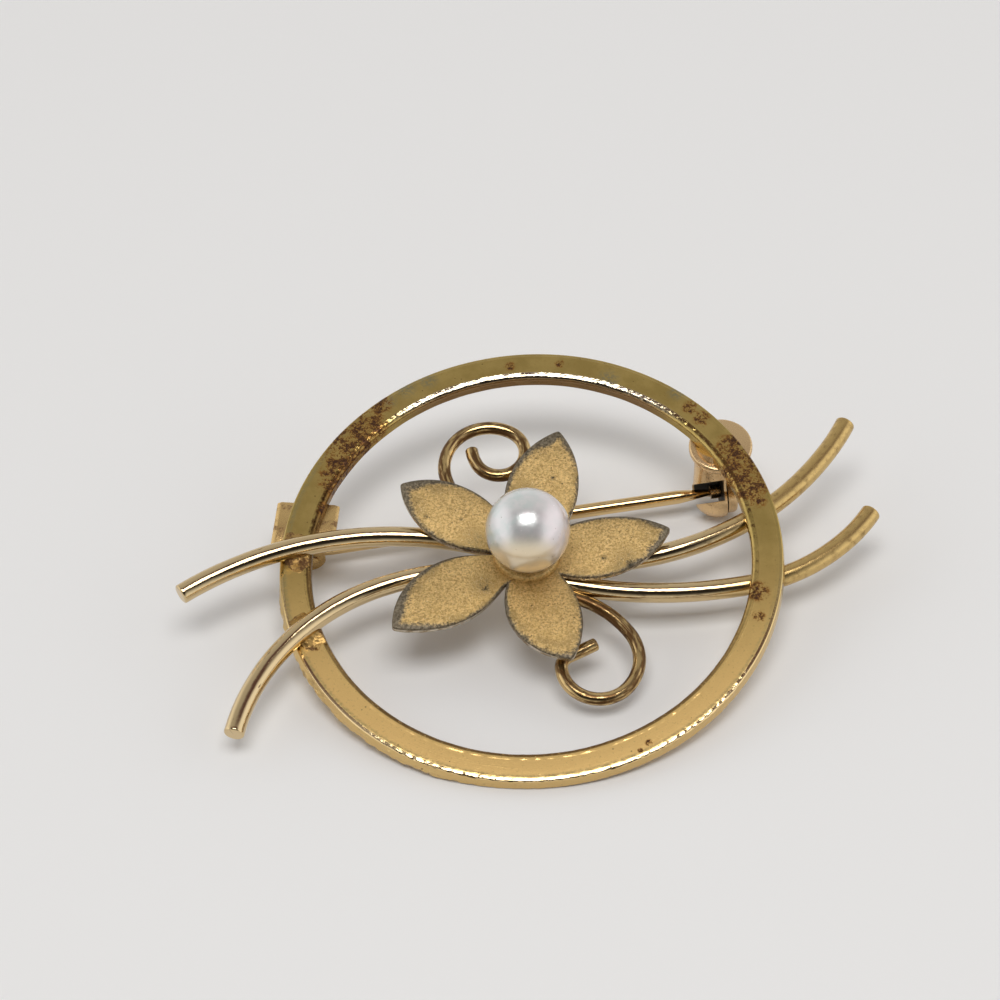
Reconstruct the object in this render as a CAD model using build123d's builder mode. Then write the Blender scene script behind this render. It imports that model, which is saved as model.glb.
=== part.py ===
from build123d import *
import os
from math import atan2, cos, radians, sin

# Circle brooch with two curved stems, coiled tendrils and a pearl flower.
# It is built flat: ring centre at the origin, front face on the XY plane, front towards +Z, millimetres.
# At the end every piece is laid down together, the way the brooch rests on its back.

# Ring band
ring_radius = 15.0
ring_width = 1.95
ring_thickness = 0.75
ring_roll = 0.28
ring_edge_break = 0.08

# Stem and tendril wires
stem_wire = 1.2
tendril_wire = 0.78
wire_end_round = 0.12
solder_sink = 0.1
solder_width = 2.2
solder_height = 0.22

# Flower sheet, pearl cup and peg
flower_x = -0.25
flower_y = -0.2
petal_reach = 8.9
petal_width = 4.4
petal_rise = 2.8
petal_tip_round = 0.12
sheet_thickness = 0.45
seat_gap = 0.03
cup_radius = 2.05
cup_height = 0.5
cup_taper = 12
peg_radius = 0.4
peg_height = 1.5

# Pearl
pearl_diameter = 5.0
pearl_gap = 0.04
pearl_lift = 0.12
drill_gap = 0.05

# Hinge on the back: plate, two ears and a rivet
hinge_place = 170
hinge_outset = -0.1
hinge_plate_length = 3.8
hinge_plate_width = 3.2
hinge_plate_shift = 0.31
hinge_plate_thickness = 0.35
hinge_plate_bevel = 0.15
hinge_plate_turn = -4
rivet_depth = 2.45
rivet_radius = 0.35
rivet_seat_gap = 0.01
rivet_head_radius = 0.55
rivet_head_height = 0.16
rivet_head_taper = 20
ear_radius = 0.95
ear_thickness = 0.3

# Pin stem
pin_wire = 0.84
eye_radius = 0.8
eye_thickness = 0.8
eye_side_gap = 0.08
rivet_running_gap = 0.05
pin_neck_length = 1.4
pin_neck_radius = 0.36
pin_point_length = 2.4
pin_point_radius = 0.12
pin_end_short = 0.1

# Safety catch: disc, neck and slotted ball
catch_place = 37.25
catch_outset = 0.14
catch_disc_radius = 1.93
catch_disc_thickness = 0.4
catch_disc_bevel = 0.15
ball_depth = 3.15
ball_offset = 1.33
ball_shift = 0.16
ball_radius = 1.6
neck_radius = 1.4
neck_shift = 0.13
channel_width = 1.24
channel_reach = 2.3
window_turn = 33
ball_wall_start = 0.175
ball_wall = 0.15

# Turning lock in the ball
sleeve_radius = 0.42
sleeve_bore = 0.27
sleeve_length = 0.6
sleeve_end = 0.12
sleeve_gap = 0.06
shaft_radius = 0.25
shaft_gap = 0.05
lock_gap = 0.08
lock_radius = 1.4
lock_thickness = 0.63
lock_round = 0.25
tab_reach = 2.3
tab_width = 0.7

# Rounds that the resting place takes to settle
settling_steps = 12

# Stems from left to right. tip and bend radii are shares of the ring's radius, turns are in degrees,
# to the left where positive.
stems = [
    {"tip": (-1.369, -0.212), "heading": 38.0, "bends": [(1.395, -53.8), (1.089, 28.6), (1.225, 51.9)]},
    {"tip": (-1.109, -0.824), "heading": 80.2,
     "bends": [(0.891, -55.0), (1.005, -38.3), (1.723, 28.1), (0.781, 43.2)]},
]

# Tendrils from their root on a stem to their free end, in the same shares and turns.
tendrils = [
    {"tip": (-0.0930, 0.0815), "heading": 151.3,
     "bends": [(0.533, -40.3), (0.199, -62.1), (0.178, -73.7), (0.113, -121.1), (0.100, -93.9), (0.201, -17.3)]},
    {"tip": (0.065, -0.110), "heading": -27.6,
     "bends": [(1.093, 7.2), (0.418, -32.3), (0.202, -74.8), (0.145, -136.5), (0.055, -66.6), (3.7, 1.65)]},
]

# Petals round the cup. root and reach are shares of petal_reach, left and right are half widths as shares
# of petal_width, seen from the flower's middle, and angle is in degrees.
petals = [
    {"angle": 150.3, "root": 0.105, "reach": 0.998, "left": 0.449, "right": 0.453},
    {"angle": 79.0, "root": -0.011, "reach": 0.989, "left": 0.512, "right": 0.467},
    {"angle": 12.9, "root": -0.024, "reach": 0.975, "left": 0.374, "right": 0.546},
    {"angle": -68.5, "root": 0.009, "reach": 0.867, "left": 0.394, "right": 0.577},
    {"angle": -143.8, "root": 0.110, "reach": 1.067, "left": 0.413, "right": 0.546},
]

ring_middle = ring_radius - ring_width / 2
stem_radius = stem_wire / 2
tendril_radius = tendril_wire / 2
pin_radius = pin_wire / 2
end_length = 2 * wire_end_round
pearl_radius = pearl_diameter / 2

# The stems lie on the ring's face at the left and under it at the right, so they share one sloping plane.
left_height = stem_radius - solder_sink
right_height = -ring_thickness - stem_radius + solder_sink
stem_slope = atan2(left_height - right_height, 2 * ring_middle)
stem_plane = Plane(
    origin=(0, 0, (left_height + right_height) / 2),
    x_dir=(cos(stem_slope), 0, -sin(stem_slope)),
    z_dir=(sin(stem_slope), 0, cos(stem_slope)),
)

# The pin line runs from the rivet in the hinge to the middle of the ball in the catch.
hinge_foot = Vector(ring_middle + hinge_outset, 0, -ring_thickness).rotate(Axis.Z, hinge_place)
catch_foot = Vector(ring_middle + catch_outset, 0, -ring_thickness).rotate(Axis.Z, catch_place)
rivet_centre = hinge_foot - Vector(0, 0, rivet_depth)
ball_centre = catch_foot - Vector(ball_shift, ball_offset, ball_depth)
pin_direction = (ball_centre - rivet_centre).normalized()
rivet_direction = Vector(0, 0, 1).cross(pin_direction).normalized()
pin_plane = Plane(origin=rivet_centre, x_dir=pin_direction, z_dir=pin_direction.cross(rivet_direction))
across_pin = Plane(origin=ball_centre, x_dir=rivet_direction, z_dir=pin_direction)

# Distances along the rivet from its middle, and along the pin from the ball's middle
ear_inside = eye_thickness / 2 + eye_side_gap
ear_outside = ear_inside + ear_thickness
ball_wall_end = ball_wall_start + ball_wall
sleeve_stop = ball_wall_start - sleeve_gap
sleeve_start = sleeve_stop - sleeve_length
lock_start = ball_wall_end + lock_gap


def bent_wire(row, wire_radius):
    """Bend a round wire along a row's bends, in the stems' plane."""
    with BuildPart() as wire:
        direction = (cos(radians(row["heading"])), sin(radians(row["heading"])))
        point = tuple(share * ring_radius + way * end_length for share, way in zip(row["tip"], direction))
        for share, turn in row["bends"]:
            with BuildLine(stem_plane):
                bend = JernArc(start=point, tangent=direction, radius=share * ring_radius, arc_size=turn)
            with BuildSketch(Plane(origin=bend @ 0, x_dir=stem_plane.z_dir, z_dir=bend % 0)):
                Circle(wire_radius)
            turning_direction = stem_plane.z_dir if turn > 0 else -stem_plane.z_dir
            revolve(axis=Axis(bend.center_point, turning_direction), revolution_arc=abs(turn))
            point = bend @ 1
            direction = bend % 1
        for end in wire.faces().filter_by(GeomType.PLANE):
            extrude(end, amount=end_length)
        ends = wire.faces().filter_by(GeomType.PLANE)
        fillet(ends.edges(), radius=wire_end_round)
    return wire.part


# Ring band, with its outer front edge rolled over
with BuildPart() as ring:
    with BuildSketch(Plane.XZ) as band:
        with Locations((ring_middle, -ring_thickness / 2)):
            Rectangle(ring_width, ring_thickness)
        outer_corners = band.vertices().sort_by(Axis.X)[-2:]
        fillet(outer_corners.sort_by(Axis.Y)[-1], radius=ring_roll)
        fillet(band.vertices().sort_by(Axis.X)[:2], radius=ring_edge_break)
    revolve(axis=Axis.Z)

# Solder that ran along each stem where it crosses the band, over it at the left and under it at the right
solder_runs = [bent_wire(row, solder_width / 2) for row in stems]
with BuildPart() as solder:
    add(solder_runs)
    with BuildSketch(Plane.XY.offset(-ring_thickness - solder_height)):
        Circle(ring_radius - ring_roll)
        Circle(ring_radius - ring_width + ring_edge_break, mode=Mode.SUBTRACT)
    extrude(amount=ring_thickness + 2 * solder_height, mode=Mode.INTERSECT)

# Hinge plate with its two ears, drilled for the rivet
with BuildPart() as hinge:
    plate_direction = Vector(1, 0, 0).rotate(Axis.Z, hinge_plate_turn)
    plate_middle = hinge_foot + Vector(0, hinge_plate_shift, 0)
    with BuildSketch(Plane(origin=plate_middle, x_dir=plate_direction, z_dir=(0, 0, -1))):
        Rectangle(hinge_plate_length, hinge_plate_width)
    extrude(amount=hinge_plate_thickness)
    front_edges = hinge.faces().sort_by(Axis.Z)[-1].edges().sort_by(Axis.X)
    chamfer([front_edges[0], front_edges[-1]], length=hinge_plate_bevel)
    ear_height = rivet_depth - hinge_plate_thickness
    for side in (-1, 1):
        ear_plane = Plane(
            origin=rivet_centre + rivet_direction * side * ear_inside,
            x_dir=(pin_direction.X, pin_direction.Y, 0),
            z_dir=rivet_direction * side,
        )
        with BuildSketch(ear_plane):
            Circle(ear_radius)
            with Locations((0, -side * ear_height / 2)):
                Rectangle(2 * ear_radius, ear_height)
            Circle(rivet_radius + rivet_seat_gap, mode=Mode.SUBTRACT)
        extrude(amount=ear_thickness)

# Catch: disc, leaning neck and ball with its mouth towards the back and its window towards the front
with BuildPart() as catch:
    with BuildSketch(Plane(origin=catch_foot, x_dir=(1, 0, 0), z_dir=(0, 0, -1))):
        Circle(catch_disc_radius)
    extrude(amount=catch_disc_thickness)
    chamfer(catch.faces().sort_by(Axis.Z)[-1].edges(), length=catch_disc_bevel)
    neck_foot = catch_foot - pin_direction * neck_shift
    with BuildSketch(Plane(origin=neck_foot, z_dir=ball_centre - catch_foot)):
        Circle(neck_radius)
    extrude(amount=(ball_centre - catch_foot).length)
    with BuildSketch(Plane(origin=catch_foot)):
        Circle(catch_disc_radius)
    extrude(amount=neck_radius, mode=Mode.SUBTRACT)
    with Locations(across_pin.location):
        Sphere(ball_radius)
    with BuildSketch(across_pin.offset(ball_wall_end)):
        Circle(tab_reach + lock_gap)
    extrude(amount=ball_radius, mode=Mode.SUBTRACT)
    with BuildSketch(across_pin.offset(-ball_radius)):
        Circle(channel_width / 2)
        for opening_angle in (-90, 90 + window_turn):
            with PolarLocations(channel_reach / 2, 1, start_angle=opening_angle):
                Rectangle(channel_reach, channel_width)
    extrude(amount=ball_radius + ball_wall_start, mode=Mode.SUBTRACT)
    with BuildSketch(across_pin.offset(ball_wall_start)):
        Circle(shaft_radius + shaft_gap)
    extrude(amount=ball_wall, mode=Mode.SUBTRACT)

# Frame: everything that is soldered together
stem_wires = [bent_wire(row, stem_radius) for row in stems]
tendril_wires = [bent_wire(row, tendril_radius) for row in tendrils]
with BuildPart() as frame:
    add(ring.part)
    add(solder.part)
    for wire in stem_wires + tendril_wires:
        add(wire)
    add(hinge.part)
    add(catch.part)
frame.part.label = "frame"

# The flower lies on both stems. Each petal has a plane of its own that rises outwards from the middle.
flower_plane = Plane(
    origin=stem_plane.from_local_coords((flower_x, flower_y, stem_radius + seat_gap)),
    x_dir=stem_plane.x_dir,
    z_dir=stem_plane.z_dir,
)


def petal_plane(angle):
    """Plane of the petal that points outwards at this angle."""
    outward = flower_plane.x_dir.rotate(Axis((0, 0, 0), flower_plane.z_dir), angle)
    fold = Axis((0, 0, 0), flower_plane.z_dir.cross(outward))
    return Plane(
        origin=flower_plane.origin,
        x_dir=outward.rotate(fold, -petal_rise),
        z_dir=flower_plane.z_dir.rotate(fold, -petal_rise),
    )


# Flower: five petals round a shallow cup with a peg for the pearl
pearl_height = sheet_thickness + pearl_lift + pearl_radius
pearl_place = flower_plane.offset(pearl_height).location
with BuildPart() as flower:
    with BuildSketch(flower_plane):
        Circle(cup_radius)
    extrude(amount=sheet_thickness)
    for row in petals:
        with BuildSketch(petal_plane(row["angle"])) as petal:
            root = row["root"] * petal_reach
            tip = row["reach"] * petal_reach
            middle = (root + tip) / 2
            with BuildLine():
                ThreePointArc((root, 0), (middle, row["left"] * petal_width), (tip, 0))
                ThreePointArc((tip, 0), (middle, -row["right"] * petal_width), (root, 0))
            make_face()
            fillet(petal.vertices().sort_by(Axis.X)[-1], radius=petal_tip_round)
        extrude(amount=sheet_thickness)
    with BuildSketch(flower_plane.offset(sheet_thickness)):
        Circle(cup_radius)
    extrude(amount=cup_height, taper=cup_taper)
    with Locations(pearl_place):
        Sphere(pearl_radius + pearl_gap, mode=Mode.SUBTRACT)
    with BuildSketch(flower_plane.offset(sheet_thickness / 2)):
        Circle(peg_radius)
    extrude(amount=sheet_thickness / 2 + pearl_lift + peg_height)
flower.part.label = "flower"

# Pearl, drilled from below for the peg
with BuildPart() as pearl:
    with Locations(pearl_place):
        Sphere(pearl_radius)
    with BuildSketch(flower_plane.offset(sheet_thickness)):
        Circle(peg_radius + drill_gap)
    extrude(amount=pearl_lift + peg_height + drill_gap, mode=Mode.SUBTRACT)
pearl.part.label = "pearl"

# Hinge rivet through both ears, with a head at each end
with BuildPart() as rivet:
    with BuildSketch(Plane(origin=rivet_centre, z_dir=rivet_direction)):
        Circle(rivet_radius)
    extrude(amount=ear_outside + rivet_seat_gap, both=True)
    for side in (-1, 1):
        head_place = rivet_centre + rivet_direction * side * (ear_outside + rivet_seat_gap)
        with BuildSketch(Plane(origin=head_place, z_dir=rivet_direction * side)):
            Circle(rivet_head_radius)
        extrude(amount=rivet_head_height, taper=rivet_head_taper)
rivet.part.label = "hinge_rivet"

# Pin stem: a flat eye on the rivet, a wire thinned towards the eye, and a point inside the ball
pin_length = (ball_centre - rivet_centre).length - pin_end_short
eye_hole = rivet_radius + rivet_running_gap
with BuildPart() as pin:
    with BuildSketch(pin_plane):
        with BuildLine():
            Polyline(
                (eye_hole, 0),
                (pin_length, 0),
                (pin_length, pin_point_radius),
                (pin_length - pin_point_length, pin_radius),
                (pin_neck_length, pin_radius),
                (eye_hole, pin_neck_radius),
                (eye_hole, 0),
            )
        make_face()
    revolve(axis=Axis(rivet_centre, pin_direction))
    eye_plane = Plane(
        origin=rivet_centre - rivet_direction * eye_thickness / 2,
        x_dir=pin_direction,
        z_dir=rivet_direction,
    )
    with BuildSketch(eye_plane):
        Circle(eye_radius)
    extrude(amount=eye_thickness)
    with BuildSketch(eye_plane):
        Circle(eye_hole)
    extrude(amount=eye_thickness, mode=Mode.SUBTRACT)
pin.part.label = "pin_stem"

# Turning lock: a disc with a thumb tab outside the ball, a shaft through its wall and a sleeve round the point
with BuildPart() as lock:
    with BuildSketch(across_pin.offset(lock_start)):
        Circle(lock_radius)
        with Locations((tab_reach / 2, 0)):
            Rectangle(tab_reach, tab_width)
    extrude(amount=lock_thickness)
    chamfer(lock.faces().filter_by(GeomType.PLANE).sort_by(Axis.X)[-1].edges(), length=lock_round)
    with BuildSketch(across_pin.offset(sleeve_stop)):
        Circle(shaft_radius)
    extrude(amount=lock_start - sleeve_stop)
    with BuildSketch(across_pin.offset(sleeve_start)):
        Circle(sleeve_radius)
        Circle(sleeve_bore, mode=Mode.SUBTRACT)
        with Locations((0, -sleeve_radius / 2)):
            Rectangle(2 * sleeve_bore, sleeve_radius, mode=Mode.SUBTRACT)
    extrude(amount=sleeve_length)
    with BuildSketch(across_pin.offset(sleeve_stop - sleeve_end)):
        Circle(sleeve_radius)
    extrude(amount=sleeve_end)
lock.part.label = "catch_lock"


def lowest_point(centre, radius, up):
    """Lowest point of a disc that stands across the rivet's line, where up is the upward direction."""
    return centre - (up - rivet_direction * up.dot(rivet_direction)).normalized() * radius


# On its back the brooch stands on three points: the near ear, the near cheek of the ball and the rim.
# The upward direction settles as the three points follow it.
near_ear = rivet_centre - rivet_direction * ear_outside
near_cheek = ball_centre - rivet_direction * channel_width / 2
cheek_radius = (ball_radius**2 - (channel_width / 2) ** 2) ** 0.5
up = Vector(0, rivet_depth / ring_radius, 1).normalized()
for step in range(settling_steps):
    ear_point = lowest_point(near_ear, ear_radius, up)
    cheek_point = lowest_point(near_cheek, cheek_radius, up)
    rim_point = Vector(-up.X, -up.Y, 0).normalized() * ring_radius - Vector(0, 0, ring_thickness)
    up = (rim_point - ear_point).cross(cheek_point - ear_point).normalized()

# Lay the pieces down and put the middle of what they cover at the origin
pieces = [frame, flower, pearl, rivet, pin, lock]
lying = Plane(origin=ear_point, x_dir=Vector(1, 0, 0) - up * up.X, z_dir=up).location.inverse()
covered = Compound([piece.part.moved(lying) for piece in pieces]).bounding_box()
centring = Location((-covered.center().X, -covered.center().Y, -covered.min.Z))
os.makedirs("parts", exist_ok=True)
for piece in pieces:
    name = piece.part.label
    piece.part = piece.part.moved(centring * lying)
    piece.part.label = name
    export_step(piece.part, f"parts/{name}.step")
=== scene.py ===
# Flower brooch: an open ring with two curved stems, coiled tendrils, a pearl flower, and a pin with its catch
from math import asin, atan2, cos, degrees, exp, hypot, pi, radians, sin, sqrt, tan
import bmesh
import bpy
from mathutils import Euler, Matrix, Vector, noise


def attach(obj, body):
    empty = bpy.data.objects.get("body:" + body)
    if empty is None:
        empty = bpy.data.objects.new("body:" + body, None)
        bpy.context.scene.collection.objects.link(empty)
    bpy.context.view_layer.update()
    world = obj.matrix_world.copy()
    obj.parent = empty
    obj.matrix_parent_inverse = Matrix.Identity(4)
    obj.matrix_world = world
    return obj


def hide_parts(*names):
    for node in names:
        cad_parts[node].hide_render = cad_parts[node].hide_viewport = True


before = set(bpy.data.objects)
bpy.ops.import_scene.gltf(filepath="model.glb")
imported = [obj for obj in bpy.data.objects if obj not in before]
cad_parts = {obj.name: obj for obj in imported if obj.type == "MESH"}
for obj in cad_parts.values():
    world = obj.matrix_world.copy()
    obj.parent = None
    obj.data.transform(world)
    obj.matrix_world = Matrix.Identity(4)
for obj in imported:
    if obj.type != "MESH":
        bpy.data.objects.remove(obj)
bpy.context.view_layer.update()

scene = bpy.context.scene
print("brooch: frame loaded")

# Every piece is drawn flat in millimetres, ring centre at the origin and front upwards, and is then laid down
laid = {
    "x": (0.999975, 0.0, 0.007068),
    "y": (-0.001453, 0.978652, 0.205521),
    "z": (-0.006917, -0.205526, 0.978627),
    "origin": (0.0347, -0.1029, 3.8361),
    "millimetre": 0.001,
}
layDown = Matrix((laid["x"], laid["y"], laid["z"])).transposed().to_4x4()
layDown.translation = Vector(laid["origin"])
layDown = Matrix.Scale(laid["millimetre"], 4) @ layDown


# Shader maths: a number that changes over a surface
class Field:
    def __init__(self, nodes, socket):
        self.nodes = nodes
        self.socket = socket

    def maths(self, operation, first, second=0.0):
        node = self.nodes.add("ShaderNodeMath", {"operation": operation}, {0: first, 1: second})
        return Field(self.nodes, node.outputs[0])

    def __add__(self, other):
        return self.maths("ADD", self, other)

    def __radd__(self, other):
        return self.maths("ADD", other, self)

    def __sub__(self, other):
        return self.maths("SUBTRACT", self, other)

    def __rsub__(self, other):
        return self.maths("SUBTRACT", other, self)

    def __mul__(self, other):
        return self.maths("MULTIPLY", self, other)

    def __rmul__(self, other):
        return self.maths("MULTIPLY", other, self)

    def higher(self, other):
        return self.maths("MAXIMUM", self, other)


# A node tree with the few things every finish and the room need
class Nodes:
    def __init__(self, tree):
        self.tree = tree

    def add(self, kind, settings=None, inputs=None):
        node = self.tree.nodes.new(kind)
        for setting, value in (settings or {}).items():
            if setting == "stops":
                ramp = node.color_ramp
                while len(ramp.elements) < len(value):
                    ramp.elements.new(0.5)
                for stop, (place, shade) in zip(ramp.elements, value):
                    stop.position = place
                    stop.color = (*shade, 1.0)
            else:
                setattr(node, setting, value)
        for key, value in (inputs or {}).items():
            self.feed(node.inputs[key], value)
        return node

    def feed(self, socket, value):
        if isinstance(value, Field):
            self.tree.links.new(value.socket, socket)
        elif isinstance(value, bpy.types.NodeSocket):
            self.tree.links.new(value, socket)
        elif isinstance(value, tuple) and socket.type == "RGBA":
            socket.default_value = (*value[:3], 1.0)
        else:
            socket.default_value = value

    def part(self, vector, axis):
        return Field(self, self.add("ShaderNodeSeparateXYZ", {}, {0: vector}).outputs[axis])

    def stretched(self, vector, scale):
        return self.add("ShaderNodeVectorMath", {"operation": "MULTIPLY"}, {0: vector, 1: scale}).outputs[0]

    def grain(self, vector, scale, detail=2.0, roughness=0.5):
        node = self.add("ShaderNodeTexNoise", {}, {"Vector": vector, "Scale": scale, "Detail": detail,
                                                   "Roughness": roughness})
        return Field(self, node.outputs["Fac"])

    def cells(self, vector, scale):
        node = self.add("ShaderNodeTexVoronoi", {}, {"Vector": vector, "Scale": scale})
        return Field(self, node.outputs["Distance"])

    def rise(self, value, low, high):
        node = self.add("ShaderNodeMapRange", {"interpolation_type": "SMOOTHSTEP"},
                        {"Value": value, "From Min": low, "From Max": high})
        return Field(self, node.outputs["Result"])

    def blend(self, mask, below, above):
        return self.add("ShaderNodeMix", {"data_type": "RGBA"}, {0: mask, 6: below, 7: above}).outputs[2]


# A material under construction
class Finish(Nodes):
    def __init__(self, name):
        self.material = bpy.data.materials.new(name)
        self.material.use_nodes = True
        super().__init__(self.material.node_tree)
        self.shader = self.tree.nodes["Principled BSDF"]

    # places on the piece in flat millimetres, or along, across and up where the piece was drawn along a line
    def place(self, name="flat"):
        return self.add("ShaderNodeAttribute", {"attribute_name": name}).outputs["Vector"]

    def share(self, name):
        return Field(self, self.add("ShaderNodeAttribute", {"attribute_name": name}).outputs["Fac"])

    def near(self, point, reach, blur):
        away = self.add("ShaderNodeVectorMath", {"operation": "DISTANCE"}, {0: self.place(), 1: point})
        return self.rise(Field(self, away.outputs["Value"]), reach + blur, reach - blur)

    def spots(self, rows, reach, blur):
        # the strongest of several round places, each a row of x, y, z and size
        whole = None
        for x, y, z, size in rows:
            spot = self.near((x, y, z), size * reach, size * blur)
            whole = spot if whole is None else whole.higher(spot)
        return whole

    def bump(self, height, distance):
        return self.add("ShaderNodeBump", {}, {"Height": height, "Distance": distance * laid["millimetre"],
                                               "Strength": 1.0}).outputs["Normal"]

    def done(self, **values):
        for name, value in values.items():
            self.feed(self.shader.inputs[name.replace("_", " ")], value)
        return self.material


# Mesh helpers
def meshFrom(name, points, faces):
    # a mesh with all its faces turned outwards
    mesh = bpy.data.meshes.new(name)
    mesh.from_pydata(points, [], faces)
    work = bmesh.new()
    work.from_mesh(mesh)
    bmesh.ops.recalc_face_normals(work, faces=work.faces)
    work.to_mesh(mesh)
    work.free()
    return mesh


class Shape:
    # points, faces and point notes of one piece, in flat millimetres
    def __init__(self):
        self.points, self.faces, self.runs = [], [], []

    def addLoops(self, loops, closed=False, runs=None):
        # a skin over a row of loops: the last joins the first when closed, else a face covers each end
        first, rows, columns = len(self.points), len(loops), len(loops[0])
        for loop, run in zip(loops, runs or loops):
            self.points += [Vector(p) for p in loop]
            self.runs += [Vector(r) for r in run]
        for i in range(rows if closed else rows - 1):
            this, after = first + i * columns, first + (i + 1) % rows * columns
            for j in range(columns):
                k = (j + 1) % columns
                self.faces.append((this + j, this + k, after + k, after + j))
        if not closed:
            last = first + (rows - 1) * columns
            self.faces += [tuple(range(first, first + columns)), tuple(reversed(range(last, last + columns)))]

    def addTurned(self, centre, axis, profile, steps=96, closed=False):
        # a lathe profile of (distance along the axis, radius) turned round the axis
        axis = Vector(axis).normalized()
        across = axis.orthogonal().normalized()
        other = axis.cross(across)
        ways = [across * cos(a) + other * sin(a) for a in (2 * pi * k / steps for k in range(steps))]
        self.addLoops([[Vector(centre) + axis * along + way * radius for way in ways]
                       for along, radius in profile], closed)

    def addMesh(self, mesh):
        first = len(self.points)
        self.points += [v.co.copy() for v in mesh.vertices]
        self.runs += [v.co.copy() for v in mesh.vertices]
        self.faces += [tuple(first + i for i in face.vertices) for face in mesh.polygons]
        bpy.data.meshes.remove(mesh)

    def build(self, name, material, body="brooch", crease=38, shares=None):
        mesh = meshFrom(name, self.points, self.faces)
        for label, places in (("flat", self.points), ("run", self.runs)):
            notes = mesh.attributes.new(label, "FLOAT_VECTOR", "POINT")
            notes.data.foreach_set("vector", [c for p in places for c in p])
        for label, values in (shares or {}).items():
            mesh.attributes.new(label, "FLOAT", "POINT").data.foreach_set("value", values)
        mesh.shade_smooth()
        mesh.transform(layDown)
        mesh.set_sharp_from_angle(angle=radians(crease))
        mesh.materials.append(material)
        piece = bpy.data.objects.new(name, mesh)
        scene.collection.objects.link(piece)
        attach(piece, body)
        return piece


def spread(start, end, count):
    return [start + (end - start) * k / count for k in range(count + 1)]


def straight(start, end, count):
    return list(zip(spread(start[0], end[0], count), spread(start[1], end[1], count)))


def arcPoints(centre, radius, start, end, count):
    return [(centre[0] + radius * cos(radians(a)), centre[1] + radius * sin(radians(a)))
            for a in spread(start, end, count)]


def between(value, low, high):
    return max(0.0, min(1.0, (value - low) / (high - low)))


def eased(value, low, high):
    t = between(value, low, high)
    return t * t * (3 - 2 * t)


def onStretch(value, start, full, fading, end):
    return eased(value, start, full) * (1 - eased(value, fading, end))


def ripple(x, y, z, size):
    return noise.noise(Vector((x, y, z)) / size)


# Plain sizes that several pieces share
brooch = {"ringRadius": 15.0, "ringWidth": 1.95, "ringThickness": 0.75, "ringRoll": 0.28,
          "stemRadius": 0.6, "tendrilRadius": 0.39, "sink": 0.1, "endRound": 0.12, "endLength": 0.24}
ringMiddle = brooch["ringRadius"] - brooch["ringWidth"] / 2
leftHeight = brooch["stemRadius"] - brooch["sink"]
rightHeight = -brooch["ringThickness"] - brooch["stemRadius"] + brooch["sink"]
stemSlope = atan2(leftHeight - rightHeight, 2 * ringMiddle)
stemAcross = Vector((cos(stemSlope), 0, -sin(stemSlope)))
stemUp = Vector((sin(stemSlope), 0, cos(stemSlope)))
stemMiddle = Vector((0, 0, (leftHeight + rightHeight) / 2))

# Ring finish: satin gold, olive overall, with a painted reflection that makes the near side warm and lighter.
# Spots are x, y, z and size.
ringTones = {"olive": (0.42, 0.30, 0.095), "oliveLight": (0.51, 0.37, 0.125), "near": (0.98, 0.67, 0.26),
             "mottle": (0.34, 0.20, 0.06), "grey": (0.24, 0.24, 0.17), "innerShadeLine": (0.13, 0.065, 0.022),
             "outerReflectionLine": (0.36, 0.31, 0.15), "dust": (0.14, 0.08, 0.03), "farWallShade": (0.33, 0.20, 0.12),
             "paleHighlight": (0.80, 0.71, 0.54), "nearWallShade": (0.56, 0.40, 0.18), "halo": (0.29, 0.134, 0.032),
             "core": (0.055, 0.024, 0.014), "coreLight": (0.20, 0.10, 0.03)}
ringTarnish = [(-11.1, 8.0, 0, 1.6), (-10.3, 9.5, 0, 1.3), (-11.8, 5.6, 0, 1.3), (-11.4, 6.8, 0, 1.5),
               (-12.4, 3.4, 0, 0.6), (-9.6, 11.0, 0, 0.8), (12.4, 6.5, 0, 1.5), (12.0, 7.8, 0, 1.1),
               (12.95, 5.2, 0, 1.2), (13.4, 4.1, 0, 0.6), (9.4, 10.8, 0, 0.5), (10.1, 10.0, 0, 0.55),
               (13.4, -2.3, 0, 0.7), (13.4, -4.0, 0, 0.4), (-1.7, 13.9, 0, 0.35), (1.4, 14.1, 0, 0.3),
               (7.1, -12.4, 0, 0.24), (6.6, -12.9, 0, 0.18), (-13.7, -0.2, 0, 0.35), (-12.4, -6.1, 0, 0.35)]
ringGreys = [(-8.1, 12.3, 0, 0.6), (-9.0, 11.3, 0, 0.4), (-6.7, 12.9, 0, 0.5), (4.4, 12.9, 0, 0.55),
             (4.6, 12.4, 0, 0.4), (8.6, 11.9, 0, 0.45)]


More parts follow.
